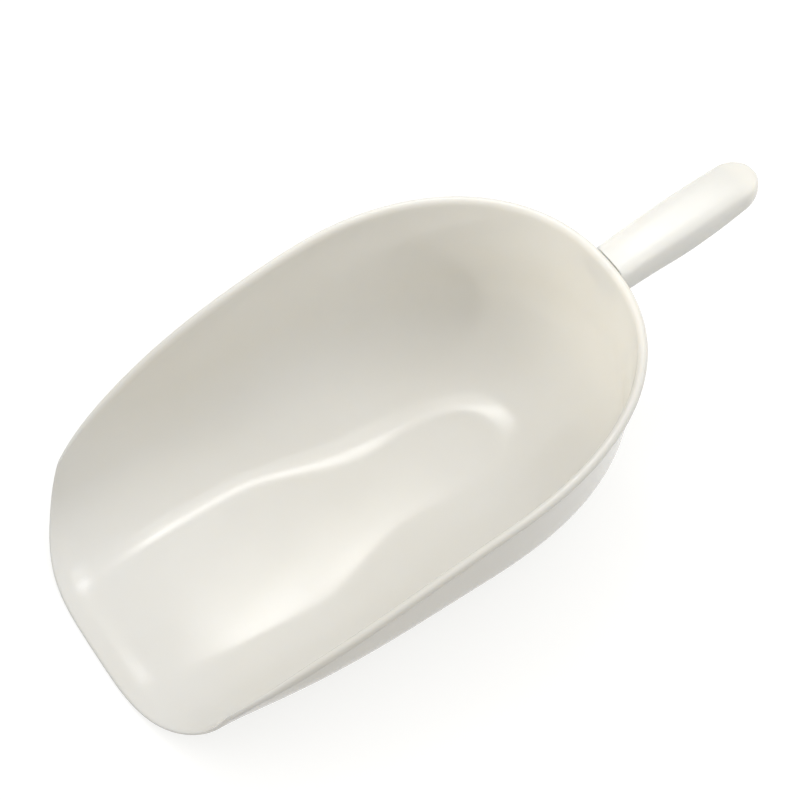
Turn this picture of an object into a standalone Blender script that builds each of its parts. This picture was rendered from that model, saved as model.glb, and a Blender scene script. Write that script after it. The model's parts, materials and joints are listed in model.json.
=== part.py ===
"""A white moulded plastic ice scoop: an open bowl with a hollow handle fixed to its back.

Units are metres. +X is the scoop's side, +Y runs from the lip to the handle and +Z is up.
The scoop stands on its flat floor, with the origin under the middle of its overall box.
"""

import math

import bmesh
import bpy

MM = 0.001

# Bowl, in plan. Distances along Y start at the tip of the lip.
HALF_WIDTH = 100.0 * MM          # widest part of the rim, from the middle to the outer edge
CORNER_HALF_WIDTH = 85.0 * MM    # the same, at the front corners
CORNER_Y = 29.0 * MM             # how far the front corners stand behind the tip of the lip
WIDEST_Y = 174.0 * MM            # where the sides end and the round back begins
BACK_DEPTH = 131.0 * MM          # length of the round back
SIDE_POWER = 3.2                 # how quickly the sides widen behind the corners
BACK_POWER = 2.19                # 2 would make the back an ellipse
LIP_POWER = 3.48                 # how square the U of the lip is

# Bowl, in side view.
RIM_HEIGHT = 101.0 * MM          # rim above the bench, at the back
CORNER_HEIGHT = 40.0 * MM        # rim above the bench, at the front corners
RIM_RISE = 1.3                   # how early the rim climbs
RIM_BEND = 0.21                  # how level the rim ends
CORNER_ROUND = 3.0 * MM          # how far the front corners are rounded back

# Bowl, in section.
WALL = 2.6 * MM                  # thickness of the moulding
LIP_WALL = 1.7 * MM              # the same, at the lip and the front corners
SIDE_DRAFT = 0.15                # lean of the side walls, in radians
BACK_DRAFT = 0.02                # lean of the back wall, in radians
CORNER_DRAFT = 0.28              # lean of the wall at the front corners, in radians
SIDE_FILLET = (54.0 * MM, 42.5 * MM)    # reach and height of the outer fillet, at the sides
BACK_FILLET = (54.0 * MM, 51.0 * MM)
CORNER_FILLET = (57.0 * MM, 39.0 * MM)
TOE_EASE = 0.50                  # share of the fillet's reach over which its toe fades out
CORNER_TOE_EASE = 0.64           # the same, at the front corners
BEAD_OVERHANG = 2.2 * MM         # how far the rim's bead stands out from the wall
BEAD_OVERHANG_FRONT = 0.3 * MM
BEAD_HEIGHT = 5.0 * MM
BEAD_HEIGHT_FRONT = 2.6 * MM
SPINE_BACK_Y = 205.0 * MM        # where the sections of the back meet on the floor
LIP_EDGE = 0.5 * MM              # rounding of the lip's edge
LIP_BEAD = 0.30 * MM             # height of the low bead inside, along the lip
LIP_BEAD_PLACE = 8.0 * MM        # how far the bead stands behind the lip
LIP_BEAD_REACH = 9.0 * MM        # how far it spreads to either side
TOE_SWELL = 15.0 * MM            # how much further in the fillet reaches where the back begins
TOE_SWELL_REACH = 70.0 * MM      # how far along the side that swell spreads

# Handle. Its rows are: share of the length, half-width, depth.
HANDLE_LENGTH = 89.0 * MM
HANDLE_RISE = 15.5 * MM
HANDLE_ARCH = 1.6 * MM
HANDLE_TOP_Z = 100.0 * MM        # top of the handle where it meets the rim
HANDLE_END_RADIUS = 14.0 * MM
HANDLE_ROWS = (
    (0.00, 13.4 * MM, 17.0 * MM),
    (0.22, 13.9 * MM, 18.0 * MM),
    (0.45, 14.5 * MM, 19.0 * MM),
    (0.70, 14.3 * MM, 16.8 * MM),
    (1.00, 13.2 * MM, 10.5 * MM),
)
HANDLE_LEAN = 0.12               # share by which the handle is narrower at its top
TOP_POWER = 4.5                  # squareness of the handle's upper edges
UNDER_POWER = 2.8                # squareness of its lower edges
GRIP_WALL = 2.6 * MM
COVER_THICKNESS = 3.4 * MM
COVER_END = 0.86                 # share of the handle's length at which the cover ends

# The tongue on the bowl's back, which carries the handle, and the fixings.
TONGUE_HALF_WIDTH = 8.2 * MM
TONGUE_THICKNESS = 6.0 * MM
TONGUE_LENGTH = 40.0 * MM
BOSS_RADIUS = 3.6 * MM
SCREW_SHARES = (0.26, 0.66)      # where along the handle the two screws stand
SHANK_RADIUS = 1.4 * MM
HEAD_RADIUS = 2.9 * MM
HEAD_HEIGHT = 1.5 * MM
HEAD_SINK = 0.9 * MM              # how deep the screw heads lie under the cover's skin
UNDER_SLOPE = 0.36               # steepest slope of the cover where the bosses stand
GAP = 0.3 * MM                   # clearance between pieces that touch

BACK_Y = WIDEST_Y + BACK_DEPTH
OVERALL_LENGTH = BACK_Y + HANDLE_LENGTH
MIDDLE_Y = OVERALL_LENGTH / 2

SIDE_STATIONS = 16
BACK_STATIONS = 18
FLOOR_POINTS = 5
FILLET_POINTS = 10
WALL_POINTS = 4


def clear_scene():
    for obj in list(bpy.data.objects):
        bpy.data.objects.remove(obj, do_unlink=True)


def collection(name):
    made = bpy.data.collections.new(name)
    bpy.context.scene.collection.children.link(made)
    return made


def material(name, colour, roughness, metallic=0.0):
    made = bpy.data.materials.new(name)
    made.use_nodes = True
    shader = made.node_tree.nodes["Principled BSDF"]
    shader.inputs["Base Color"].default_value = (*colour, 1.0)
    shader.inputs["Roughness"].default_value = roughness
    shader.inputs["Metallic"].default_value = metallic
    return made


def mesh_object(name, points, faces, group):
    """An object of these points, moved so that the origin is under the middle of the scoop."""
    mesh = bpy.data.meshes.new(name)
    mesh.from_pydata([(x, y - MIDDLE_Y, z) for x, y, z in points], [], faces)
    work = bmesh.new()
    work.from_mesh(mesh)
    bmesh.ops.remove_doubles(work, verts=work.verts, dist=1e-7)
    bmesh.ops.recalc_face_normals(work, faces=work.faces)
    work.to_mesh(mesh)
    work.free()
    mesh.shade_smooth()
    mesh.set_sharp_from_angle(angle=math.radians(35))
    obj = bpy.data.objects.new(name, mesh)
    group.objects.link(obj)
    return obj


def boolean(obj, other, operation, name):
    modifier = obj.modifiers.new(name, "BOOLEAN")
    modifier.operation = operation
    modifier.solver = "EXACT"
    modifier.object = other


def mirror(obj):
    modifier = obj.modifiers.new("other side", "MIRROR")
    modifier.use_axis = (True, False, False)
    modifier.use_clip = True
    modifier.merge_threshold = 0.00001


def helper(obj):
    obj.hide_render = True
    obj.display_type = "WIRE"
    return obj


def blend(a, b, share):
    return a + (b - a) * share


def ease(share):
    """0 to 1, starting and ending level."""
    share = min(1.0, max(0.0, share))
    return share * share * (3 - 2 * share)


def rim_height(y):
    """Height of the rim's top where its outer edge is at y."""
    s = (y - CORNER_Y) / (BACK_Y - CORNER_Y)
    bulge = RIM_RISE * s * (1 - s) + RIM_BEND * s * (1 - s) * (1 - 2 * s)
    near_corner = max(0.0, 1 - (y - CORNER_Y) / (6 * CORNER_ROUND))
    return blend(CORNER_HEIGHT, RIM_HEIGHT, s + bulge) - 0.5 * CORNER_ROUND * near_corner ** 2


class Station:
    """One section of the half bowl, from the spine (x = 0) out to the rim."""

    def __init__(self, rim_x, rim_y, spine_y, front, back):
        self.x = rim_x
        self.y = rim_y
        self.spine_y = spine_y
        self.height = rim_height(rim_y)
        self.span = math.hypot(rim_x, rim_y - spine_y) if back > 0 else rim_x
        self.power = 1.0 if back > 0 else LIP_POWER
        self.rounding = CORNER_ROUND * front ** 2
        self.draft = blend(SIDE_DRAFT, BACK_DRAFT, ease(back))
        self.draft = blend(self.draft, CORNER_DRAFT, ease(front))
        self.wall = blend(WALL, LIP_WALL, ease(front))
        self.bead_height = blend(BEAD_HEIGHT, BEAD_HEIGHT_FRONT, ease(front))
        side = [blend(s, b, ease(back)) for s, b in zip(SIDE_FILLET, BACK_FILLET)]
        swell = TOE_SWELL * (1 - ease(abs(spine_y - WIDEST_Y) / TOE_SWELL_REACH))
        self.reach = blend(side[0], CORNER_FILLET[0], ease(front)) + swell
        self.fillet_height = blend(side[1], CORNER_FILLET[1], ease(front))
        self.toe_ease = blend(TOE_EASE, CORNER_TOE_EASE, ease(front))
        self.overhang = blend(BEAD_OVERHANG, BEAD_OVERHANG_FRONT, ease(front))
        from_bead = abs(spine_y - LIP_BEAD_PLACE) / LIP_BEAD_REACH
        self.thickening = LIP_BEAD * (1 - ease(from_bead))

    def place(self, inset, z):
        """The point this far in from the rim's outer edge, at height z."""
        share = 1 - inset / self.span
        x = self.x * share
        y = self.spine_y + (self.y - self.spine_y) * max(share, 0.0) ** self.power
        top = max(0.0, (z / self.height - 0.5) / 0.5)
        return (x, y + self.rounding * top ** 2, z)

    def outer_line(self):
        """Outer surface as (inset, height, normal), from the spine up to the bead."""
        lean = math.tan(self.draft)
        under_bead = self.height - self.bead_height
        fillet_top = min(self.fillet_height, 0.9 * under_bead)
        wall_foot = self.overhang + (self.height - fillet_top) * lean
        toe = wall_foot + self.reach
        line = []
        for i in range(FLOOR_POINTS):
            line.append((blend(self.span, toe, i / FLOOR_POINTS), 0.0, (0.0, 1.0)))
        handle_in = self.toe_ease * self.reach
        handle_up = 0.58 * fillet_top
        corners = (
            (toe, 0.0),
            (toe - handle_in, 0.0),
            (wall_foot + handle_up * lean, fillet_top - handle_up),
            (wall_foot, fillet_top),
        )
        for i in range(FILLET_POINTS + 1):
            line.append(bezier(corners, i / FILLET_POINTS))
        normal = (math.cos(self.draft), math.sin(self.draft))
        for i in range(1, WALL_POINTS + 1):
            z = blend(fillet_top, under_bead, i / WALL_POINTS)
            line.append((self.overhang + (self.height - z) * lean, z, normal))
        return line

    def ring(self, thinner=0.0):
        """Closed section: out along the underside, over the bead and back along the inside."""
        outer = self.outer_line()
        lean = math.tan(self.draft)
        h = self.height
        tall = self.bead_height
        inner_top = self.overhang + self.wall / math.cos(self.draft)
        bead = (
            (0.30 * self.overhang + thinner, h - 0.86 * tall),
            (0.04 * self.overhang + thinner, h - 0.74 * tall),
            (thinner, h - 0.52 * tall),
            (0.13 * self.overhang + thinner, h - 0.28 * tall),
            (0.42 * self.overhang + thinner, h - 0.10 * tall),
            (0.95 * self.overhang + thinner, h),
            (self.overhang + 0.45 * self.wall, h - 0.05 * tall),
            (self.overhang + 0.80 * self.wall - thinner, h - 0.22 * tall),
            (inner_top + 0.48 * tall * lean - thinner, h - 0.48 * tall),
        )
        points = [self.place(u + n[0] * thinner, z + n[1] * thinner) for u, z, n in outer]
        points += [self.place(u, z) for u, z in bead]
        for u, z, n in reversed(outer):
            inside = self.wall - thinner + self.thickening * n[1] ** 4
            points.append(self.place(u + n[0] * inside, z + n[1] * inside))
        return points

    def envelope_ring(self, clearance):
        """Section of the space that the bowl takes up, closed far above the rim."""
        outer = [(u - n[0] * clearance, z - n[1] * clearance) for u, z, n in self.outer_line()]
        h = self.height
        outer.append((0.30 * self.overhang - clearance, h - 0.90 * BEAD_HEIGHT - clearance))
        outer.append((-clearance, h - 0.80 * BEAD_HEIGHT))
        outer.append((-clearance, h + 30 * MM))
        outer.append((self.span, h + 30 * MM))
        return [self.place(u, z) for u, z in outer]


def bezier(corners, t):
    """Point and inward normal of a cubic curve given by its four corners."""
    weights = ((1 - t) ** 3, 3 * t * (1 - t) ** 2, 3 * t * t * (1 - t), t ** 3)
    u = sum(w * c[0] for w, c in zip(weights, corners))
    z = sum(w * c[1] for w, c in zip(weights, corners))
    slopes = ((1 - t) ** 2, 2 * t * (1 - t), t * t)
    du = sum(s * (b[0] - a[0]) for s, a, b in zip(slopes, corners, corners[1:]))
    dz = sum(s * (b[1] - a[1]) for s, a, b in zip(slopes, corners, corners[1:]))
    length = math.hypot(du, dz)
    return (u, z, (dz / length, -du / length))


def side_station(t):
    y = blend(CORNER_Y, WIDEST_Y, t)
    x = HALF_WIDTH - (HALF_WIDTH - CORNER_HALF_WIDTH) * (1 - t) ** SIDE_POWER
    spine = y - CORNER_Y * (1 - t) ** 1.5
    return Station(x, y, spine, max(0.0, 1 - t / 0.35), 0.0)


def back_station(turn):
    angle = turn * math.pi / 2
    x = HALF_WIDTH * max(0.0, math.cos(angle)) ** (2 / BACK_POWER)
    if turn == 1:
        x = 0.0
    y = WIDEST_Y + BACK_DEPTH * math.sin(angle) ** (2 / BACK_POWER)
    spine = blend(WIDEST_Y, SPINE_BACK_Y, math.sin(angle))
    return Station(x, y, spine, 0.0, turn)


def bowl_stations():
    sides = [side_station((i / SIDE_STATIONS) ** 1.35) for i in range(SIDE_STATIONS + 1)]
    backs = [back_station(i / BACK_STATIONS) for i in range(1, BACK_STATIONS + 1)]
    return sides + backs


def strip(first, count, size, closed):
    """Quads between rings that follow one another, each of this size."""
    faces = []
    steps = size if closed else size - 1
    for ring in range(count - 1):
        a = first + ring * size
        for i in range(steps):
            j = (i + 1) % size
            faces.append((a + i, a + j, a + size + j, a + size + i))
    return faces


def make_bowl_shell(group):
    stations = bowl_stations()
    edge = side_station(0.0)
    edge_ring = edge.ring(thinner=LIP_EDGE)
    second = side_station(0.004)
    rings = [edge_ring, second.ring()]
    rings += [station.ring() for station in stations[1:]]
    size = len(edge_ring)
    points = [point for ring in rings for point in ring]
    faces = strip(0, len(rings), size, closed=False)
    line = len(edge.outer_line())
    for i in range(line - 1):
        faces.append((i + 1, i, size - 1 - i, size - 2 - i))
    faces.append(tuple(range(size - line, line - 2, -1)))
    obj = mesh_object("bowl", points, faces, group)
    mirror(obj)
    return obj


def make_envelope(name, clearance, group):
    """The space of the bowl's back, grown by the clearance: it trims the handle's root."""
    stations = [back_station(0.62 + 0.38 * i / 9) for i in range(10)]
    rings = [station.envelope_ring(clearance) for station in stations]
    size = len(rings[0])
    points = [point for ring in rings for point in ring]
    faces = strip(0, len(rings), size, closed=False)
    faces.append(tuple(range(size)))
    obj = mesh_object(name, points, faces, group)
    mirror(obj)
    return helper(obj)


def handle_row(share):
    """Half-width and depth of the handle at this share of its length, smoothly."""
    rows = HANDLE_ROWS
    share = min(1.0, max(0.0, share))
    k = 0
    while k < len(rows) - 2 and share > rows[k + 1][0]:
        k += 1
    t = (share - rows[k][0]) / (rows[k + 1][0] - rows[k][0])
    before = rows[max(0, k - 1)]
    after = rows[min(len(rows) - 1, k + 2)]
    found = []
    for i in (1, 2):
        a, b = rows[k][i], rows[k + 1][i]
        step = rows[k + 1][0] - rows[k][0]
        slope_a = (b - before[i]) / (rows[k + 1][0] - before[0]) * step
        slope_b = (after[i] - a) / (after[0] - rows[k][0]) * step
        found.append(
            a * (2 * t ** 3 - 3 * t * t + 1)
            + slope_a * (t ** 3 - 2 * t * t + t)
            + b * (3 * t * t - 2 * t ** 3)
            + slope_b * (t ** 3 - t * t)
        )
    return found


def handle_top(share):
    arch = HANDLE_ARCH * 4 * share * (1 - share)
    return HANDLE_TOP_Z + HANDLE_RISE * share + arch


def handle_section(share):
    """Half-width, middle height, depth above the middle and depth below it."""
    half_width, depth = handle_row(share)
    end = HANDLE_LENGTH * (1 - share)
    top = handle_top(share)
    round_end = 1.0
    if end < HANDLE_END_RADIUS:
        round_end = math.sqrt(max(0.0, 1 - (1 - end / HANDLE_END_RADIUS) ** 2))
    upper = 0.55 * depth
    lower = 0.45 * depth
    middle = top - upper
    shrink = blend(0.25, 1.0, round_end)
    return (
        half_width * round_end,
        middle,
        upper * shrink,
        lower * shrink ** 1.2,
    )


def section_point(section, angle):
    half_width, middle, upper, lower = section
    c, s = math.cos(angle), math.sin(angle)
    power, rise = (TOP_POWER, upper) if s >= 0 else (UNDER_POWER, lower)
    height = math.copysign(abs(s) ** (2 / power), s)
    narrow = 1 - HANDLE_LEAN * max(0.0, height)
    x = half_width * narrow * math.copysign(abs(c) ** (2 / power), c)
    return x, middle + rise * height


def under_height(section, x):
    """Height of the handle's underside at x."""
    half_width, middle, _, lower = section
    share = min(1.0, abs(x) / half_width)
    return middle - lower * (1 - share ** UNDER_POWER) ** (1 / UNDER_POWER)


def shares(first, last, count, crowd_end):
    """Places along the handle, closer together towards the end when asked."""
    found = []
    for i in range(count + 1):
        t = i / count
        if crowd_end:
            t = math.sin(t * math.pi / 2) * 0.55 + t * 0.45
        found.append(blend(first, last, t))
    return found


def lofted(name, rings, group):
    """Closed body through rings of points, capped at both ends."""
    size = len(rings[0])
    points = [point for ring in rings for point in ring]
    faces = strip(0, len(rings), size, closed=True)
    faces.append(tuple(range(size - 1, -1, -1)))
    last = (len(rings) - 1) * size
    faces.append(tuple(range(last, last + size)))
    return mesh_object(name, points, faces, group)


def handle_y(share):
    return BACK_Y + HANDLE_LENGTH * share


def make_handle_body(name, group):
    rings = []
    for share in shares(-0.09, 1 - 1e-4, 26, True):
        section = handle_section(share)
        ring = []
        for i in range(40):
            x, z = section_point(section, (i + 0.5) * math.tau / 40)
            ring.append((x, handle_y(share), z))
        rings.append(ring)
    return lofted(name, rings, group)


def make_handle_cavity(group):
    """The hollow of the grip, open underneath."""
    rings = []
    last = 1 - GRIP_WALL / HANDLE_LENGTH * 1.6
    for share in shares(-0.12, last, 18, True):
        half_width, middle, upper, lower = handle_section(share)
        half_width = max(half_width - GRIP_WALL, 1.5 * MM)
        roof = middle + upper - GRIP_WALL
        y = handle_y(share)
        side = half_width * (1 - HANDLE_LEAN) - 2.0 * MM * min(1.0, half_width / (4 * MM))
        shoulder = half_width * (1 - 0.8 * HANDLE_LEAN)
        ring = [
            (half_width, y, middle - lower - 6 * MM),
            (half_width, y, middle),
            (shoulder, y, roof - 2.0 * MM),
            (side, y, roof),
            (-side, y, roof),
            (-shoulder, y, roof - 2.0 * MM),
            (-half_width, y, middle),
            (-half_width, y, middle - lower - 6 * MM),
        ]
        rings.append(ring)
    # The cavity stops short of the end, so that the grip closes round the cover.
    kept = [ring for ring in rings if ring[0][1] < handle_y(COVER_END)]
    return helper(lofted("handle cavity", kept + [end_ring(kept[-1])], group))


def end_ring(ring):
    """The same ring, moved to where the cavity ends."""
    y = handle_y(COVER_END)
    rise = (y - ring[0][1]) / HANDLE_LENGTH * HANDLE_RISE
    return [(x, y, z + rise) for x, _, z in ring]


def make_cover(group):
    """The plate that closes the underside of the grip, flush with it."""
    rings = []
    last = COVER_END - 2 * GAP / HANDLE_LENGTH
    for share in shares(-0.09, last, 16, False):
        section = handle_section(share)
        half_width = section[0] - GRIP_WALL - GAP
        y = handle_y(share)
        across = [blend(half_width, -half_width, i / 8) for i in range(9)]
        low = [(x, y, under_height(section, x)) for x in across]
        top_z = under_height(section, 0.0) + COVER_THICKNESS
        ring = low + [(-half_width, y, top_z), (half_width, y, top_z)]
        rings.append(ring)
    return lofted("handle_cover", rings, group)


def peg(name, radius, bottom, top, y, group, sides=28):
    """A plain upright cylinder, used to add a boss or to drill a hole."""
    mesh = bpy.data.meshes.new(name)
    work = bmesh.new()
    bmesh.ops.create_cone(
        work,
        cap_ends=True,
        segments=sides,
        radius1=radius,
        radius2=radius,
        depth=top - bottom,
    )
    work.to_mesh(mesh)
    work.free()
    obj = bpy.data.objects.new(name, mesh)
    obj.location = (0, y - MIDDLE_Y, (top + bottom) / 2)
    group.objects.link(obj)
    return obj


def turned(name, profile, y, group, sides=28):
    """A body turned about an upright line, from (radius, height) rows, top to bottom."""
    mesh = bpy.data.meshes.new(name)
    rows = [(0.0, profile[0][1])] + list(profile) + [(0.0, profile[-1][1])]
    edges = [(i, i + 1) for i in range(len(rows) - 1)]
    mesh.from_pydata([(radius, 0, z) for radius, z in rows], edges, [])
    obj = bpy.data.objects.new(name, mesh)
    obj.location = (0, y - MIDDLE_Y, 0)
    group.objects.link(obj)
    screw = obj.modifiers.new("turn", "SCREW")
    screw.steps = sides
    screw.render_steps = sides
    screw.use_merge_vertices = True
    screw.merge_threshold = 0.00001
    screw.use_smooth_shade = True
    return obj


def block(name, size, centre, group, taper=1.0):
    """A box of this size, whose upper face is narrower by the taper."""
    mesh = bpy.data.meshes.new(name)
    work = bmesh.new()
    bmesh.ops.create_cube(work, size=1.0)
    for vert in work.verts:
        narrow = taper if vert.co.z > 0 else 1.0
        vert.co.x *= size[0] * narrow
        vert.co.y *= size[1] * narrow
        vert.co.z *= size[2]
    work.to_mesh(mesh)
    work.free()
    obj = bpy.data.objects.new(name, mesh)
    obj.location = (centre[0], centre[1] - MIDDLE_Y, centre[2])
    group.objects.link(obj)
    return obj


def screw_heights(share):
    """Heights of the cover's skin, the cover's top and the grip's roof at a screw."""
    section = handle_section(share)
    skin = under_height(section, 0.0)
    return skin, skin + COVER_THICKNESS, section[1] + section[2] - GRIP_WALL


def make_tongue(group):
    """The flat tongue on the bowl's back that the handle is fixed to."""
    root_y = BACK_Y - BEAD_OVERHANG - 1.9 * MM
    tip_y = BACK_Y + TONGUE_LENGTH
    slope = math.atan(HANDLE_RISE / HANDLE_LENGTH)
    section = handle_section(((root_y + tip_y) / 2 - BACK_Y) / HANDLE_LENGTH)
    roof = section[1] + section[2] - GRIP_WALL
    middle_z = roof - 4 * GAP - TONGUE_THICKNESS / 2
    length = (tip_y - root_y) / math.cos(slope)
    size = (2 * TONGUE_HALF_WIDTH, length, TONGUE_THICKNESS)
    obj = block("tongue", size, (0, (root_y + tip_y) / 2, middle_z), group)
    obj.rotation_euler = (slope, 0, 0)
    bevel = obj.modifiers.new("edges", "BEVEL")
    bevel.width = 1.2 * MM
    bevel.segments = 2
    return helper(obj)


def build():
    clear_scene()
    scoop = collection("ice scoop")
    cutters = collection("cutters")
    cutters.hide_render = True

    plastic = material("white polypropylene", (0.86, 0.85, 0.81), 0.32)
    grip_plastic = material("white grip plastic", (0.90, 0.89, 0.85), 0.35)
    cover_plastic = material("white cover plastic", (0.88, 0.87, 0.83), 0.40)
    steel = material("stainless steel", (0.62, 0.62, 0.61), 0.28, 1.0)

    bowl = make_bowl_shell(scoop)
    boolean(bowl, make_tongue(cutters), "UNION", "tongue")
    bowl.data.materials.append(plastic)

    envelope = make_envelope("space of the bowl", GAP, cutters)
    grip = make_handle_body("handle_grip", scoop)
    boolean(grip, make_handle_cavity(cutters), "DIFFERENCE", "hollow")
    cover = make_cover(scoop)

    for name, share in zip(("front", "rear"), SCREW_SHARES):
        y = handle_y(share)
        skin, cover_top, roof = screw_heights(share)

        boss_foot = cover_top + GAP + UNDER_SLOPE * BOSS_RADIUS
        boss = peg(name + " boss", BOSS_RADIUS, boss_foot, roof + 1.2 * MM, y, cutters)
        boolean(grip, helper(boss), "UNION", name + " boss")
        pilot_top = roof - 1.0 * MM
        pilot = peg(name + " pilot", SHANK_RADIUS + GAP, skin - 5 * MM, pilot_top, y, cutters)
        boolean(grip, helper(pilot), "DIFFERENCE", name + " pilot hole")

        hole = (
            (SHANK_RADIUS + GAP, cover_top + 3 * MM),
            (SHANK_RADIUS + GAP, skin + HEAD_SINK + HEAD_HEIGHT),
            (HEAD_RADIUS + GAP, skin + HEAD_SINK),
            (HEAD_RADIUS + GAP, skin - 4 * MM),
        )
        sink = turned(name + " countersink", hole, y, cutters)
        boolean(cover, helper(sink), "DIFFERENCE", name + " screw hole")

        head_z = skin + HEAD_SINK - GAP
        shank_top = pilot_top - 1.2 * MM
        profile = (
            (0.3 * MM, shank_top),
            (SHANK_RADIUS, shank_top - 2.0 * MM),
            (SHANK_RADIUS, head_z + HEAD_HEIGHT + 0.2 * MM),
            (HEAD_RADIUS, head_z + 0.2 * MM),
            (HEAD_RADIUS, head_z),
        )
        screw = turned("handle_screw_" + name, profile, y, scoop)
        recess_z = head_z + 0.2 * MM
        for size in ((3.4 * MM, 0.8 * MM, 2.0 * MM), (0.8 * MM, 3.4 * MM, 2.0 * MM)):
            slot = block(name + " recess", size, (0, y, recess_z), cutters, taper=0.6)
            boolean(screw, helper(slot), "DIFFERENCE", "recess")
        screw.data.materials.append(steel)

    front_y = handle_y(SCREW_SHARES[0])
    passage = peg("boss passage", BOSS_RADIUS + GAP, 60 * MM, 140 * MM, front_y, cutters)
    boolean(bowl, helper(passage), "DIFFERENCE", "boss passage")

    boolean(grip, envelope, "DIFFERENCE", "root")
    boolean(cover, envelope, "DIFFERENCE", "root")
    grip.data.materials.append(grip_plastic)
    cover.data.materials.append(cover_plastic)


build()
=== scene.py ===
"""The ice scoop's visual model, its materials, a studio stage and the photograph's camera.

Units are metres, in the CAD's frame: +X is the scoop's side, +Y runs from the lip to the
handle and +Z is up. The sizes are those of the CAD model. Only the number of points along
each curve is higher, and the line between the grip and the bowl is finer.
"""

import json
import math
import bmesh
import bpy
from mathutils import Matrix, Vector

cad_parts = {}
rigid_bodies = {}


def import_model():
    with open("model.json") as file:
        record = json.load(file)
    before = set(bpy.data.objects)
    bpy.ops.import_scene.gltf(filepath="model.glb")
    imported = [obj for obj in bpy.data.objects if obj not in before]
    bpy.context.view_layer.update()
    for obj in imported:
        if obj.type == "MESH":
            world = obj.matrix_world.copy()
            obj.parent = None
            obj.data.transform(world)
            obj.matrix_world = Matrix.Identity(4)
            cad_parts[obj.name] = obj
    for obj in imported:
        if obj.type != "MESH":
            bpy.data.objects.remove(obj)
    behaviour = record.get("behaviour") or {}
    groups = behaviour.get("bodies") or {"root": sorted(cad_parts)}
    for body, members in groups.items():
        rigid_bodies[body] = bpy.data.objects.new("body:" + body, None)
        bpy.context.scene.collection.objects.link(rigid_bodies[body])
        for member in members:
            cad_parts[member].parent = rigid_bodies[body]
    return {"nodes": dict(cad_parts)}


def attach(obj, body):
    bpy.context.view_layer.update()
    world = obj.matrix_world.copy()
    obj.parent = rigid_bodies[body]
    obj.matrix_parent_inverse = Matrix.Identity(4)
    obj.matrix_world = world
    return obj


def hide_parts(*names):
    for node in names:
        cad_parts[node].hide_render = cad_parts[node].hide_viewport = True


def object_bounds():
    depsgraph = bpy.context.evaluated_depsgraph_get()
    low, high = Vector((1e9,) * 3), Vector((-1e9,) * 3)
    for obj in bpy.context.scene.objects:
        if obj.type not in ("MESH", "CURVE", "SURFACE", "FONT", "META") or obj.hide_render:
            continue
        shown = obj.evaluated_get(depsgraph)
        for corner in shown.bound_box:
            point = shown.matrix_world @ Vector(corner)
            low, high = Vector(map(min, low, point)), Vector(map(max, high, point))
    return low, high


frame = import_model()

CAD_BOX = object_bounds()

MM = 0.001

# Bowl, in plan. Distances along Y start at the tip of the lip.
HALF_WIDTH = 100.0 * MM          # widest part of the rim, from the middle to the outer edge
CORNER_HALF_WIDTH = 85.0 * MM    # the same, at the front corners
CORNER_Y = 29.0 * MM             # how far the front corners stand behind the tip of the lip
WIDEST_Y = 174.0 * MM            # where the sides end and the round back begins
BACK_DEPTH = 131.0 * MM          # length of the round back
SIDE_POWER = 3.2                 # how quickly the sides widen behind the corners
BACK_POWER = 2.19                # 2 would make the back an ellipse
LIP_POWER = 3.48                 # how square the U of the lip is

# Bowl, in side view.
RIM_HEIGHT = 101.0 * MM          # rim above the bench, at the back
CORNER_HEIGHT = 40.0 * MM        # rim above the bench, at the front corners
RIM_RISE = 1.3                   # how early the rim climbs
RIM_BEND = 0.21                  # how level the rim ends
CORNER_ROUND = 3.0 * MM          # how far the front corners are rounded back

# Bowl, in section.
WALL = 2.6 * MM                  # thickness of the moulding
LIP_WALL = 1.7 * MM              # the same, at the lip and the front corners
SIDE_DRAFT = 0.15                # lean of the side walls, in radians
BACK_DRAFT = 0.02                # lean of the back wall, in radians
CORNER_DRAFT = 0.28              # lean of the wall at the front corners, in radians
SIDE_FILLET = (54.0 * MM, 42.5 * MM)    # reach and height of the outer fillet, at the sides
BACK_FILLET = (54.0 * MM, 51.0 * MM)    # the same, at the back
CORNER_FILLET = (57.0 * MM, 39.0 * MM)  # the same, at the front corners
TOE_EASE = 0.50                  # share of the fillet's reach over which its toe fades out
CORNER_TOE_EASE = 0.64           # the same, at the front corners
TOP_EASE = 0.58                  # share of the fillet's height over which its top fades out
BEAD_OVERHANG = 2.2 * MM         # how far the rim's bead stands out from the wall
BEAD_OVERHANG_FRONT = 0.3 * MM   # the same, at the front corners
BEAD_HEIGHT = 5.0 * MM
BEAD_HEIGHT_FRONT = 2.6 * MM
SPINE_BACK_Y = 205.0 * MM        # where the sections of the back meet on the floor
LIP_EDGE = 0.5 * MM              # rounding of the lip's edge
LIP_BEAD = 0.30 * MM             # height of the low bead inside, along the lip
LIP_BEAD_PLACE = 8.0 * MM        # how far the bead stands behind the lip
LIP_BEAD_REACH = 9.0 * MM        # how far it spreads to either side
TOE_SWELL = 15.0 * MM            # how much further in the fillet reaches where the back begins
TOE_SWELL_REACH = 70.0 * MM      # how far along the side that swell spreads
FRONT_REACH = 0.35               # share of the sides over which the corner's section fades out
LIP_FADE = 1.5                   # how quickly the lip's U dies out along the sides
LIP_EDGE_PLACE = 0.004           # share of the sides at which the lip's rounded edge ends

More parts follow.
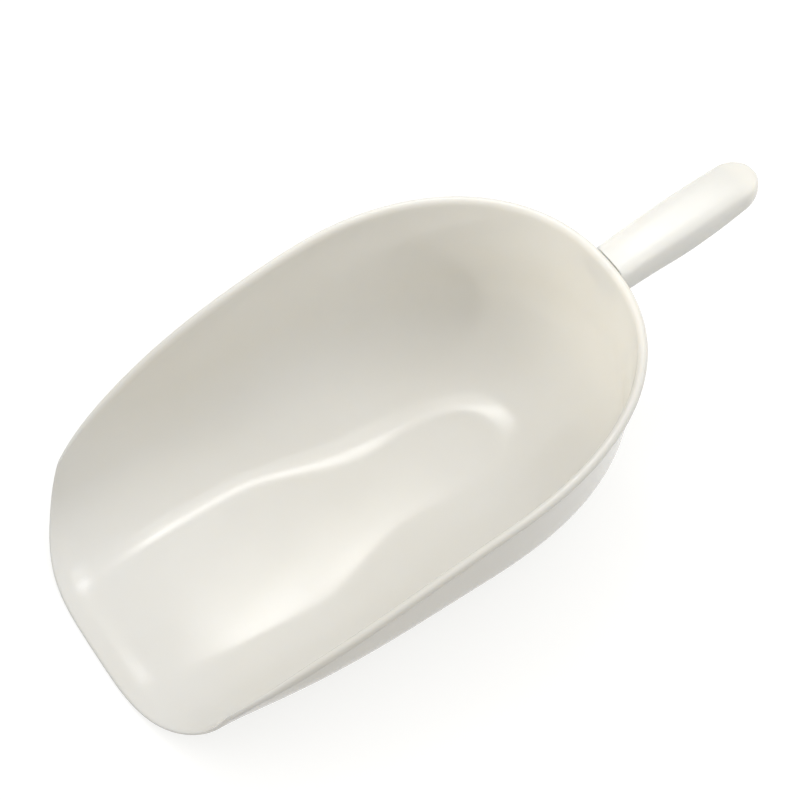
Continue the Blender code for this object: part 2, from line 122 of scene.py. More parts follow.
# Handle. Its rows are: share of the length, half-width, depth.
HANDLE_LENGTH = 89.0 * MM
HANDLE_RISE = 15.5 * MM
HANDLE_ARCH = 1.6 * MM
HANDLE_TOP_Z = 100.0 * MM        # top of the handle where it meets the rim
HANDLE_END_RADIUS = 14.0 * MM
HANDLE_ROWS = (
    (0.00, 13.4 * MM, 17.0 * MM),
    (0.22, 13.9 * MM, 18.0 * MM),
    (0.45, 14.5 * MM, 19.0 * MM),
    (0.70, 14.3 * MM, 16.8 * MM),
    (1.00, 13.2 * MM, 10.5 * MM),
)
HANDLE_LEAN = 0.12               # share by which the handle is narrower at its top
TOP_POWER = 4.5                  # squareness of the handle's upper edges
UNDER_POWER = 2.8                # squareness of its lower edges
UPPER_SHARE = 0.55               # share of the handle's depth above its widest level
LOWER_SHARE = 0.45               # share of it below
END_DEPTH = 0.25                 # share of the depth that is left at the rounded end
END_UNDER_POWER = 1.2            # how much sooner the underside closes there
GRIP_WALL = 2.6 * MM
COVER_THICKNESS = 3.4 * MM
COVER_END = 0.86                 # share of the handle's length at which the cover ends
CAVITY_CHAMFER = 2.0 * MM        # chamfer of the grip's hollow along its roof
CAVITY_LEAST = 1.5 * MM          # least half-width of the hollow
CAVITY_TIP_WALLS = 1.6           # its sections run on to this many walls from the handle's tip

# The tongue on the bowl's back, which carries the handle, and the fixings.
TONGUE_HALF_WIDTH = 8.2 * MM
TONGUE_THICKNESS = 6.0 * MM
TONGUE_LENGTH = 40.0 * MM
TONGUE_SINK = 1.9 * MM           # how deep the tongue starts in the bowl's wall
TONGUE_BEVEL = 1.2 * MM
BOSS_RADIUS = 3.6 * MM
BOSS_SINK = 1.2 * MM             # how deep a boss runs into the grip's roof
PILOT_STOP = 1.0 * MM            # how far below the roof a pilot hole ends
SCREW_SHARES = (0.26, 0.66)      # where along the handle the two screws stand
SHANK_RADIUS = 1.4 * MM
UNDER_SLOPE = 0.36               # steepest slope of the cover where the bosses stand
GAP = 0.3 * MM                   # clearance between pieces that touch
ROOT_GAP = 0.12 * MM             # the fine line between the grip and the bowl

# Places along Y that follow from these.
BACK_Y = WIDEST_Y + BACK_DEPTH
OVERALL_LENGTH = BACK_Y + HANDLE_LENGTH
MIDDLE_Y = OVERALL_LENGTH / 2

# How finely the surfaces are drawn.
SIDE_STATIONS = 34
BACK_STATIONS = 36
STATION_CROWDING = 1.35          # above 1, the sections crowd towards the front corners
FLOOR_POINTS = 10
FILLET_POINTS = 20
WALL_POINTS = 8
ENVELOPE_STATIONS = 28
GRIP_RINGS = 60
GRIP_POINTS = 88
CAVITY_RINGS = 18
PEG_SIDES = 28
CROWDED = 0.55                   # share of crowding towards the tip in the handle's rings
EVEN = 0.45                      # share of even spacing
MERGE_DISTANCE = 1e-7            # points closer than this are one
MIRROR_MERGE = 0.00001           # the same, where the two halves meet
BOWL_EDGE = 50                   # edges of the bowl sharper than this, in degrees, stay crisp
GRIP_EDGE = 40                   # the same, for the grip

# The cutters and the untrimmed handle, which run past what they cut or join.
ROOT_OVERRUN = 0.09              # share of its length by which the handle starts in the bowl
END_MARGIN = 1e-4                # share of it left off at the tip, where the section has no size
CAVITY_OVERRUN = 0.12            # share of it by which the hollow's cutter starts in the bowl
CAVITY_BELOW = 6.0 * MM          # how far that cutter reaches below the handle
PILOT_BELOW = 5.0 * MM           # how far the pilot holes' cutters do
PASSAGE_BOTTOM = 60.0 * MM       # heights between which the tongue is cut for the front boss
PASSAGE_TOP = 140.0 * MM
ABOVE_RIM = 30.0 * MM            # how far the bowl's envelope reaches above the rim
ENVELOPE_START = 0.62            # share of the turn round the back at which it starts

# Camera: 99 mm lens, from the scoop's right and front, looking down at about 56 degrees.
CAMERA_AT = Vector((0.5027, -0.1575 - MIDDLE_Y, 0.9662))
CAMERA_AIM = Vector((-0.0264, 0.1976 - MIDDLE_Y, 0.0300))
CAMERA_ROLL = math.radians(0.6)
CAMERA_LENS = 99.0
SENSOR_WIDTH = 36.0

# Plastics: colour, the same where it is stained, and roughness.
BOWL_LOOK = ((0.79, 0.775, 0.73), (0.77, 0.75, 0.695), 0.13)
GRIP_LOOK = ((0.84, 0.83, 0.785), (0.82, 0.805, 0.75), 0.22)
COVER_LOOK = ((0.80, 0.79, 0.745), (0.78, 0.765, 0.71), 0.42)
PLASTIC_IOR = 1.49
SCATTER = 0.5                    # share of the diffuse light that scatters under the surface
SCATTER_REACH = 8.0 * MM         # how far it travels there
SCATTER_SHARES = (1.0, 0.9, 0.75)    # red, green and blue, as shares of that

# Screws.
STEEL_COLOUR = (0.62, 0.62, 0.61)
STEEL_ROUGHNESS = (0.22, 0.38)   # least and most

# Floor and backdrop.
STUDIO_RADIUS = 3.0
STUDIO_HEIGHT = 4.0
FLOOR_DROP = 0.0005              # how far the floor lies under the scoop
WALL_SINK = 0.01                 # how far the backdrop's foot does
STAGE_GREY = (0.36, 0.36, 0.356)
STAGE_GLOW = (1.0, 1.0, 0.99)
FLOOR_GLOW = 0.72
BACKDROP_GLOW = 0.90

# Dome: its strength near the horizon and overhead.
DOME_COLOUR = (1.0, 0.99, 0.97)
DOME_LOW = 0.40
DOME_HIGH = 1.31
DOME_FULL = 0.9                  # sine of the elevation from which it is at its brightest

# The room is darker towards the scoop's right and front, by this factor at most.
DIM_SIDE = (0.50, -0.78, 0.38)
DIM_LEVEL = 0.56
DIM_RANGE = (0.2, 1.0)           # cosines to that direction between which it darkens

# Panels: name, place, the point they face, width and height, and brightness.
PANELS = (
    ("ceiling panel", (-0.655, 0.32, 1.5), (-0.655, 0.32, 0), (0.15, 0.40), 8.5),
    ("ceiling glow", (-0.43, 0.32, 1.5), (-0.43, 0.32, 0), (0.30, 0.40), 2.0),
    ("back panel", (0.3, 1.1, 0.6), (0, 0.1, 0.08), (0.7, 0.5), 1.0),
)

# Spots: name, the place lit, the direction to the lamp, watts, and cone in degrees.
SPOT_COLOUR = (1.0, 0.97, 0.91)
SPOT_SOFTNESS = 0.03
BACK_WALL = (-0.004, BACK_Y - MIDDLE_Y, 0.078)
HANDLE_SIDE = (0.014, BACK_Y + HANDLE_LENGTH * 0.5 - MIDDLE_Y, 0.105)
SPOTS = (
    ("wall light", BACK_WALL, (-0.35, -0.85, 0.40), 19.0, 11.0),
    ("handle light", HANDLE_SIDE, (0.80, 0.45, 0.20), 7.5, 9.0),
)


def mesh_object(name, points, faces, group):
    """An object of these points, moved so that the origin is under the middle of the scoop."""
    mesh = bpy.data.meshes.new(name)
    mesh.from_pydata([(x, y - MIDDLE_Y, z) for x, y, z in points], [], faces)
    work = bmesh.new()
    work.from_mesh(mesh)
    bmesh.ops.remove_doubles(work, verts=work.verts, dist=MERGE_DISTANCE)
    bmesh.ops.recalc_face_normals(work, faces=work.faces)
    work.to_mesh(mesh)
    work.free()
    mesh.shade_smooth()
    obj = bpy.data.objects.new(name, mesh)
    group.objects.link(obj)
    return obj


def boolean(obj, other, operation, name):
    """Joins or cuts the object with the other one, as a modifier."""
    modifier = obj.modifiers.new(name, "BOOLEAN")
    modifier.operation = operation
    modifier.solver = "EXACT"
    modifier.object = other


def mirror(obj):
    """Adds the half of the piece on the other side of x = 0."""
    modifier = obj.modifiers.new("other side", "MIRROR")
    modifier.use_axis = (True, False, False)
    modifier.use_clip = True
    modifier.merge_threshold = MIRROR_MERGE


def helper(obj):
    """Marks an object that only cuts or joins others."""
    obj.hide_render = True
    obj.display_type = "WIRE"
    return obj


def blend(a, b, share):
    return a + (b - a) * share


def ease(share):
    """0 to 1, starting and ending level."""
    share = min(1.0, max(0.0, share))
    return share * share * (3 - 2 * share)


def rim_height(y):
    """Height of the rim's top where its outer edge is at y."""
    s = (y - CORNER_Y) / (BACK_Y - CORNER_Y)
    bulge = RIM_RISE * s * (1 - s) + RIM_BEND * s * (1 - s) * (1 - 2 * s)
    near_corner = max(0.0, 1 - (y - CORNER_Y) / (6 * CORNER_ROUND))
    return blend(CORNER_HEIGHT, RIM_HEIGHT, s + bulge) - 0.5 * CORNER_ROUND * near_corner ** 2


class Station:
    """One section of the half bowl, from the spine (x = 0) out to the rim."""

    def __init__(self, rim_x, rim_y, spine_y, front, back):
        self.x = rim_x
        self.y = rim_y
        self.spine_y = spine_y
        self.height = rim_height(rim_y)
        self.span = math.hypot(rim_x, rim_y - spine_y) if back > 0 else rim_x
        self.power = 1.0 if back > 0 else LIP_POWER
        self.rounding = CORNER_ROUND * front ** 2
        self.draft = blend(SIDE_DRAFT, BACK_DRAFT, ease(back))
        self.draft = blend(self.draft, CORNER_DRAFT, ease(front))
        self.wall = blend(WALL, LIP_WALL, ease(front))
        self.bead_height = blend(BEAD_HEIGHT, BEAD_HEIGHT_FRONT, ease(front))
        side = [blend(s, b, ease(back)) for s, b in zip(SIDE_FILLET, BACK_FILLET)]
        swell = TOE_SWELL * (1 - ease(abs(spine_y - WIDEST_Y) / TOE_SWELL_REACH))
        self.reach = blend(side[0], CORNER_FILLET[0], ease(front)) + swell
        self.fillet_height = blend(side[1], CORNER_FILLET[1], ease(front))
        self.toe_ease = blend(TOE_EASE, CORNER_TOE_EASE, ease(front))
        self.overhang = blend(BEAD_OVERHANG, BEAD_OVERHANG_FRONT, ease(front))
        from_bead = abs(spine_y - LIP_BEAD_PLACE) / LIP_BEAD_REACH
        self.thickening = LIP_BEAD * (1 - ease(from_bead))

    def place(self, inset, z):
        """The point this far in from the rim's outer edge, at height z."""
        share = 1 - inset / self.span
        x = self.x * share
        y = self.spine_y + (self.y - self.spine_y) * max(share, 0.0) ** self.power
        top = max(0.0, (z / self.height - 0.5) / 0.5)
        return (x, y + self.rounding * top ** 2, z)

    def outer_line(self):
        """Outer surface as (inset, height, normal), from the spine up to the bead."""
        lean = math.tan(self.draft)
        under_bead = self.height - self.bead_height
        fillet_top = min(self.fillet_height, 0.9 * under_bead)
        wall_foot = self.overhang + (self.height - fillet_top) * lean
        toe = wall_foot + self.reach
        line = []
        for i in range(FLOOR_POINTS):
            line.append((blend(self.span, toe, i / FLOOR_POINTS), 0.0, (0.0, 1.0)))
        toe_pull = self.toe_ease * self.reach
        top_pull = TOP_EASE * fillet_top
        corners = (
            (toe, 0.0),
            (toe - toe_pull, 0.0),
            (wall_foot + top_pull * lean, fillet_top - top_pull),
            (wall_foot, fillet_top),
        )
        for i in range(FILLET_POINTS + 1):
            line.append(bezier(corners, i / FILLET_POINTS))
        normal = (math.cos(self.draft), math.sin(self.draft))
        for i in range(1, WALL_POINTS + 1):
            z = blend(fillet_top, under_bead, i / WALL_POINTS)
            line.append((self.overhang + (self.height - z) * lean, z, normal))
        return line

    def ring(self, thinner=0.0):
        """Closed section: out along the underside, over the bead and back along the inside."""
        outer = self.outer_line()
        lean = math.tan(self.draft)
        h = self.height
        tall = self.bead_height
        inner_top = self.overhang + self.wall / math.cos(self.draft)
        # The bead's outline, in shares of its overhang and height, from below and over its top.
        bead = (
            (0.30 * self.overhang + thinner, h - 0.86 * tall),
            (0.04 * self.overhang + thinner, h - 0.74 * tall),
            (thinner, h - 0.52 * tall),
            (0.13 * self.overhang + thinner, h - 0.28 * tall),
            (0.42 * self.overhang + thinner, h - 0.10 * tall),
            (0.95 * self.overhang + thinner, h),
            (self.overhang + 0.45 * self.wall, h - 0.05 * tall),
            (self.overhang + 0.80 * self.wall - thinner, h - 0.22 * tall),
            (inner_top + 0.48 * tall * lean - thinner, h - 0.48 * tall),
        )
        points = [self.place(u + n[0] * thinner, z + n[1] * thinner) for u, z, n in outer]
        points += [self.place(u, z) for u, z in bead]
        for u, z, n in reversed(outer):
            inside = self.wall - thinner + self.thickening * n[1] ** 4
            points.append(self.place(u + n[0] * inside, z + n[1] * inside))
        return points

    def envelope_ring(self, clearance):
        """Section of the space that the bowl takes up, closed far above the rim."""
        outer = [(u - n[0] * clearance, z - n[1] * clearance) for u, z, n in self.outer_line()]
        h = self.height
        outer.append((0.30 * self.overhang - clearance, h - 0.90 * BEAD_HEIGHT - clearance))
        outer.append((-clearance, h - 0.80 * BEAD_HEIGHT))
        outer.append((-clearance, h + ABOVE_RIM))
        outer.append((self.span, h + ABOVE_RIM))
        return [self.place(u, z) for u, z in outer]


def bezier(corners, t):
    """Point and inward normal of a cubic curve given by its four corners."""
    weights = ((1 - t) ** 3, 3 * t * (1 - t) ** 2, 3 * t * t * (1 - t), t ** 3)
    u = sum(w * c[0] for w, c in zip(weights, corners))
    z = sum(w * c[1] for w, c in zip(weights, corners))
    slopes = ((1 - t) ** 2, 2 * t * (1 - t), t * t)
    du = sum(s * (b[0] - a[0]) for s, a, b in zip(slopes, corners, corners[1:]))
    dz = sum(s * (b[1] - a[1]) for s, a, b in zip(slopes, corners, corners[1:]))
    length = math.hypot(du, dz)
    return (u, z, (dz / length, -du / length))


def side_station(t):
    """The section at this share of the sides, from the front corner to the widest place."""
    y = blend(CORNER_Y, WIDEST_Y, t)
    x = HALF_WIDTH - (HALF_WIDTH - CORNER_HALF_WIDTH) * (1 - t) ** SIDE_POWER
    spine = y - CORNER_Y * (1 - t) ** LIP_FADE
    return Station(x, y, spine, max(0.0, 1 - t / FRONT_REACH), 0.0)


def back_station(turn):
    """The section at this share of the turn round the back, up to the handle."""
    angle = turn * math.pi / 2
    x = HALF_WIDTH * max(0.0, math.cos(angle)) ** (2 / BACK_POWER)
    if turn == 1:
        x = 0.0
    y = WIDEST_Y + BACK_DEPTH * math.sin(angle) ** (2 / BACK_POWER)
    spine = blend(WIDEST_Y, SPINE_BACK_Y, math.sin(angle))
    return Station(x, y, spine, 0.0, turn)


def bowl_stations():
    """All sections of the half bowl, from the front corner to the handle."""
    places = [(i / SIDE_STATIONS) ** STATION_CROWDING for i in range(SIDE_STATIONS + 1)]
    sides = [side_station(place) for place in places]
    backs = [back_station(i / BACK_STATIONS) for i in range(1, BACK_STATIONS + 1)]
    return sides + backs


def strip(first, count, size, closed):
    """Quads between rings that follow one another, each of this size."""
    faces = []
    steps = size if closed else size - 1
    for ring in range(count - 1):
        a = first + ring * size
        for i in range(steps):
            j = (i + 1) % size
            faces.append((a + i, a + j, a + size + j, a + size + i))
    return faces


def make_bowl_shell(group):
    """The bowl's closed shell: half of it through its sections, and a mirror."""
    stations = bowl_stations()
    edge = side_station(0.0)
    edge_ring = edge.ring(thinner=LIP_EDGE)
    second = side_station(LIP_EDGE_PLACE)
    rings = [edge_ring, second.ring()]
    rings += [station.ring() for station in stations[1:]]
    size = len(edge_ring)
    points = [point for ring in rings for point in ring]
    faces = strip(0, len(rings), size, closed=False)
    line = len(edge.outer_line())
    for i in range(line - 1):
        faces.append((i + 1, i, size - 1 - i, size - 2 - i))
    faces.append(tuple(range(size - line, line - 2, -1)))
    obj = mesh_object("bowl", points, faces, group)
    mirror(obj)
    return obj


def make_envelope(name, clearance, group):
    """The space of the bowl's back, grown by the clearance: it trims the handle's root."""
    steps = ENVELOPE_STATIONS - 1
    turns = [ENVELOPE_START + (1 - ENVELOPE_START) * i / steps for i in range(ENVELOPE_STATIONS)]
    rings = [back_station(turn).envelope_ring(clearance) for turn in turns]
    size = len(rings[0])
    points = [point for ring in rings for point in ring]
    faces = strip(0, len(rings), size, closed=False)
    faces.append(tuple(range(size)))
    obj = mesh_object(name, points, faces, group)
    mirror(obj)
    return helper(obj)


def handle_row(share):
    """Half-width and depth of the handle at this share of its length, smoothly."""
    rows = HANDLE_ROWS
    share = min(1.0, max(0.0, share))
    k = 0
    while k < len(rows) - 2 and share > rows[k + 1][0]:
        k += 1
    t = (share - rows[k][0]) / (rows[k + 1][0] - rows[k][0])
    before = rows[max(0, k - 1)]
    after = rows[min(len(rows) - 1, k + 2)]
    found = []
    for i in (1, 2):
        a, b = rows[k][i], rows[k + 1][i]
        step = rows[k + 1][0] - rows[k][0]
        slope_a = (b - before[i]) / (rows[k + 1][0] - before[0]) * step
        slope_b = (after[i] - a) / (after[0] - rows[k][0]) * step
        found.append(
            a * (2 * t ** 3 - 3 * t * t + 1)
            + slope_a * (t ** 3 - 2 * t * t + t)
            + b * (3 * t * t - 2 * t ** 3)
            + slope_b * (t ** 3 - t * t)
        )
    return found


def handle_top(share):
    """Height of the handle's top, which climbs and is slightly arched."""
    arch = HANDLE_ARCH * 4 * share * (1 - share)
    return HANDLE_TOP_Z + HANDLE_RISE * share + arch


def handle_section(share):
    """Half-width, middle height, depth above the middle and depth below it."""
    half_width, depth = handle_row(share)
    end = HANDLE_LENGTH * (1 - share)
    top = handle_top(share)
    round_end = 1.0
    if end < HANDLE_END_RADIUS:
        round_end = math.sqrt(max(0.0, 1 - (1 - end / HANDLE_END_RADIUS) ** 2))
    upper = UPPER_SHARE * depth
    lower = LOWER_SHARE * depth
    middle = top - upper
    shrink = blend(END_DEPTH, 1.0, round_end)
    return (
        half_width * round_end,
        middle,
        upper * shrink,
        lower * shrink ** END_UNDER_POWER,
    )


def section_point(section, angle):
    """The point of the handle's outline at this angle, as x and height."""
    half_width, middle, upper, lower = section
    c, s = math.cos(angle), math.sin(angle)
    power, rise = (TOP_POWER, upper) if s >= 0 else (UNDER_POWER, lower)
    height = math.copysign(abs(s) ** (2 / power), s)
    narrow = 1 - HANDLE_LEAN * max(0.0, height)
    x = half_width * narrow * math.copysign(abs(c) ** (2 / power), c)
    return x, middle + rise * height


def under_height(section, x):
    """Height of the handle's underside at x."""
    half_width, middle, _, lower = section
    share = min(1.0, abs(x) / half_width)
    return middle - lower * (1 - share ** UNDER_POWER) ** (1 / UNDER_POWER)


def shares(first, last, count):
    """Places along the handle, closer together towards its end."""
    found = []
    for i in range(count + 1):
        t = i / count
        t = math.sin(t * math.pi / 2) * CROWDED + t * EVEN
        found.append(blend(first, last, t))
    return found


def lofted(name, rings, group):
    """Closed body through rings of points, capped at both ends."""
    size = len(rings[0])
    points = [point for ring in rings for point in ring]
    faces = strip(0, len(rings), size, closed=True)
    faces.append(tuple(range(size - 1, -1, -1)))
    last = (len(rings) - 1) * size
    faces.append(tuple(range(last, last + size)))
    return mesh_object(name, points, faces, group)


def handle_y(share):
    """Distance from the tip of the lip at this share of the handle."""
    return BACK_Y + HANDLE_LENGTH * share


def make_handle_body(name, group):
    """The handle as a solid, before its root is trimmed."""
    rings = []
    for share in shares(-ROOT_OVERRUN, 1 - END_MARGIN, GRIP_RINGS):
        section = handle_section(share)
        ring = []
        for i in range(GRIP_POINTS):
            x, z = section_point(section, (i + 0.5) * math.tau / GRIP_POINTS)
            ring.append((x, handle_y(share), z))
        rings.append(ring)
    return lofted(name, rings, group)


def make_handle_cavity(group):
    """The hollow of the grip, open underneath."""
    rings = []
    last = 1 - GRIP_WALL / HANDLE_LENGTH * CAVITY_TIP_WALLS
    for share in shares(-CAVITY_OVERRUN, last, CAVITY_RINGS):
        half_width, middle, upper, lower = handle_section(share)
        half_width = max(half_width - GRIP_WALL, CAVITY_LEAST)
        roof = middle + upper - GRIP_WALL
        y = handle_y(share)
        chamfer = CAVITY_CHAMFER * min(1.0, half_width / (2 * CAVITY_CHAMFER))
        side = half_width * (1 - HANDLE_LEAN) - chamfer
        shoulder = half_width * (1 - 0.8 * HANDLE_LEAN)
        ring = [
            (half_width, y, middle - lower - CAVITY_BELOW),
            (half_width, y, middle),
            (shoulder, y, roof - CAVITY_CHAMFER),
            (side, y, roof),
            (-side, y, roof),
            (-shoulder, y, roof - CAVITY_CHAMFER),
            (-half_width, y, middle),
            (-half_width, y, middle - lower - CAVITY_BELOW),
        ]
        rings.append(ring)
    # Sections past the cover's end are left out, so that the grip closes round the cover.
    kept = [ring for ring in rings if ring[0][1] < handle_y(COVER_END)]
    return helper(lofted("handle cavity", kept + [end_ring(kept[-1])], group))


def end_ring(ring):
    """The same ring, moved to where the cavity ends."""
    y = handle_y(COVER_END)
    rise = (y - ring[0][1]) / HANDLE_LENGTH * HANDLE_RISE
    return [(x, y, z + rise) for x, _, z in ring]


def peg(name, radius, bottom, top, y, group):
    """A plain upright cylinder, used to add a boss or to drill a hole."""
    mesh = bpy.data.meshes.new(name)
    work = bmesh.new()
    bmesh.ops.create_cone(
        work,
        cap_ends=True,
        segments=PEG_SIDES,
        radius1=radius,
        radius2=radius,
        depth=top - bottom,
    )
    work.to_mesh(mesh)
    work.free()
    obj = bpy.data.objects.new(name, mesh)
    obj.location = (0, y - MIDDLE_Y, (top + bottom) / 2)
    group.objects.link(obj)
    return obj


def block(name, size, centre, group):
    """A box of this size."""
    mesh = bpy.data.meshes.new(name)
    work = bmesh.new()
    bmesh.ops.create_cube(work, size=1.0)
    for vert in work.verts:
        vert.co.x *= size[0]
        vert.co.y *= size[1]
        vert.co.z *= size[2]
    work.to_mesh(mesh)
    work.free()
    obj = bpy.data.objects.new(name, mesh)
    obj.location = (centre[0], centre[1] - MIDDLE_Y, centre[2])
    group.objects.link(obj)
    return obj


def screw_heights(share):
    """Heights of the cover's skin, the cover's top and the grip's roof at a screw."""
    section = handle_section(share)
    skin = under_height(section, 0.0)
    return skin, skin + COVER_THICKNESS, section[1] + section[2] - GRIP_WALL


def make_tongue(group):
    """The flat tongue on the bowl's back that the handle is fixed to."""
    root_y = BACK_Y - BEAD_OVERHANG - TONGUE_SINK
    tip_y = BACK_Y + TONGUE_LENGTH
    slope = math.atan(HANDLE_RISE / HANDLE_LENGTH)
    section = handle_section(((root_y + tip_y) / 2 - BACK_Y) / HANDLE_LENGTH)
    roof = section[1] + section[2] - GRIP_WALL
    middle_z = roof - 4 * GAP - TONGUE_THICKNESS / 2
    length = (tip_y - root_y) / math.cos(slope)
    size = (2 * TONGUE_HALF_WIDTH, length, TONGUE_THICKNESS)
    obj = block("tongue", size, (0, (root_y + tip_y) / 2, middle_z), group)
    obj.rotation_euler = (slope, 0, 0)
    bevel = obj.modifiers.new("edges", "BEVEL")
    bevel.width = TONGUE_BEVEL
    bevel.segments = 2
    return helper(obj)


def settle(obj, edge_angle):
    """Applies the object's modifiers and shades it smooth up to this angle."""
    graph = bpy.context.evaluated_depsgraph_get()
    mesh = bpy.data.meshes.new_from_object(obj.evaluated_get(graph))
    obj.modifiers.clear()
    obj.data = mesh
    mesh.shade_smooth()
    mesh.set_sharp_from_angle(angle=math.radians(edge_angle))


def make_bowl(group, cutters):
    """The bowl with the tongue that carries the handle."""
    bowl = make_bowl_shell(group)
    smooth = bowl.modifiers.new("smooth", "SUBSURF")
    smooth.levels = 1
    smooth.render_levels = 1
    boolean(bowl, make_tongue(cutters), "UNION", "tongue")
    front_y = handle_y(SCREW_SHARES[0])
    wide = BOSS_RADIUS + GAP
    passage = peg("boss passage", wide, PASSAGE_BOTTOM, PASSAGE_TOP, front_y, cutters)
    boolean(bowl, helper(passage), "DIFFERENCE", "boss passage")
    settle(bowl, BOWL_EDGE)
    return bowl


def make_grip(group, cutters):
    """The grip: a hollow casing, open underneath, with a boss for each screw."""
    grip = make_handle_body("grip_skin", group)
    boolean(grip, make_handle_cavity(cutters), "DIFFERENCE", "hollow")
    for name, share in zip(("front", "rear"), SCREW_SHARES):
        y = handle_y(share)
        skin, cover_top, roof = screw_heights(share)
        boss_foot = cover_top + GAP + UNDER_SLOPE * BOSS_RADIUS
        boss = peg(name + " boss", BOSS_RADIUS, boss_foot, roof + BOSS_SINK, y, cutters)
        boolean(grip, helper(boss), "UNION", name + " boss")
        bottom = skin - PILOT_BELOW
        pilot_top = roof - PILOT_STOP
        pilot = peg(name + " pilot", SHANK_RADIUS + GAP, bottom, pilot_top, y, cutters)
        boolean(grip, helper(pilot), "DIFFERENCE", name + " pilot hole")
    boolean(grip, make_envelope("space of the bowl", ROOT_GAP, cutters), "DIFFERENCE", "root")
    settle(grip, GRIP_EDGE)
    return grip


# ---------------------------------------------------------------- materials

def new_material(name):
    """A new material, with its node tree and its shader."""
    made = bpy.data.materials.new(name)
    made.use_nodes = True
    return made, made.node_tree, made.node_tree.nodes["Principled BSDF"]


def noise(tree, scale, detail, stretch=(1, 1, 1)):
    """Noise in the piece's own space, with about this many waves to the metre."""
    coords = tree.nodes.new("ShaderNodeTexCoord")
    place = tree.nodes.new("ShaderNodeMapping")
    place.inputs["Scale"].default_value = stretch
    texture = tree.nodes.new("ShaderNodeTexNoise")
    texture.inputs["Scale"].default_value = scale
    texture.inputs["Detail"].default_value = detail
    tree.links.new(coords.outputs["Object"], place.inputs["Vector"])
    tree.links.new(place.outputs["Vector"], texture.inputs["Vector"])
    return texture.outputs["Fac"]


def ramp(tree, value, low, high, at=(0.3, 0.7)):
    """Maps the value between two grey levels or two colours."""
    made = tree.nodes.new("ShaderNodeMapRange")
    made.inputs["From Min"].default_value = at[0]
    made.inputs["From Max"].default_value = at[1]
    made.inputs["To Min"].default_value = low
    made.inputs["To Max"].default_value = high
    tree.links.new(value, made.inputs["Value"])
    return made.outputs["Result"]


def mixed(tree, share, first, second):
    """Mixes two colours by this share."""
    made = tree.nodes.new("ShaderNodeMix")
    made.data_type = "RGBA"
    tree.links.new(share, made.inputs["Factor"])
    for socket, colour in (("A", first), ("B", second)):
        place = [s for s in made.inputs if s.name == socket and s.type == "RGBA"][0]
        if isinstance(colour, tuple):
            place.default_value = (*colour, 1)
        else:
            tree.links.new(colour, place)
    return [s for s in made.outputs if s.type == "RGBA"][0]


def bump(tree, height, distance, strength, under=None):
    """Surface relief of this depth, on top of another where one is given."""
    made = tree.nodes.new("ShaderNodeBump")
    made.inputs["Distance"].default_value = distance
    made.inputs["Strength"].default_value = strength
    tree.links.new(height, made.inputs["Height"])
    if under is not None:
        tree.links.new(under, made.inputs["Normal"])
    return made.outputs["Normal"]


def white_plastic(name, colour, stained, roughness):
    """Moulded polypropylene: faint colour clouds, smudged gloss, moulding waves and fine scuffs."""
    made, tree, shader = new_material(name)
    cloud = ramp(tree, noise(tree, scale=9, detail=3), 0, 1, at=(0.35, 0.65))
    tree.links.new(mixed(tree, cloud, colour, stained), shader.inputs["Base Color"])
    smudges = noise(tree, scale=30, detail=4)
    smudge = ramp(tree, smudges, low=roughness - 0.03, high=roughness + 0.05)
    tree.links.new(smudge, shader.inputs["Roughness"])
    swells = noise(tree, scale=14, detail=1)
    waves = bump(tree, swells, distance=0.001, strength=0.06)
    specks = noise(tree, scale=900, detail=2)
    grain = bump(tree, specks, distance=0.00005, strength=0.10, under=waves)
    lengthways = noise(tree, scale=260, detail=2, stretch=(1, 0.05, 1))
    streaks = ramp(tree, lengthways, 0, 1, at=(0.60, 0.72))
    scuffs = bump(tree, streaks, distance=0.00002, strength=0.12, under=grain)
    tree.links.new(scuffs, shader.inputs["Normal"])
    shader.inputs["IOR"].default_value = PLASTIC_IOR
    shader.inputs["Subsurface Weight"].default_value = SCATTER
    shader.inputs["Subsurface Radius"].default_value = SCATTER_SHARES
    shader.inputs["Subsurface Scale"].default_value = SCATTER_REACH
    return made


def steel():
    """Bright steel with a fine, uneven gloss, for the screws."""
    made, tree, shader = new_material("screw steel")
    shader.inputs["Metallic"].default_value = 1.0
    shader.inputs["Base Color"].default_value = (*STEEL_COLOUR, 1)
    low, high = STEEL_ROUGHNESS
    gloss = ramp(tree, noise(tree, scale=900, detail=3), low, high)
    tree.links.new(gloss, shader.inputs["Roughness"])
    return made


def pale_stage(name, glow):
    """Matt white that glows a little, so that the stage stays pale."""
    made, _, shader = new_material(name)
    shader.inputs["Base Color"].default_value = (*STAGE_GREY, 1)
    shader.inputs["Roughness"].default_value = 0.9
    shader.inputs["Emission Color"].default_value = (*STAGE_GLOW, 1)
    shader.inputs["Emission Strength"].default_value = glow
    shader.inputs["Specular IOR Level"].default_value = 0.1
    return made


# ---------------------------------------------------------------- stage

def area_light(name, place, aim, size, strength):
    """A rectangular lamp of this brightness, in watts for each square metre and steradian."""
    data = bpy.data.lights.new(name, "AREA")
    data.shape = "RECTANGLE"
    data.size, data.size_y = size
    data.energy = strength * math.pi * size[0] * size[1]
    light = bpy.data.objects.new(name, data)
    light.location = place
    away = Vector(place) - Vector(aim)
    light.rotation_euler = away.to_track_quat("Z", "Y").to_euler()
    bpy.context.scene.collection.objects.link(light)


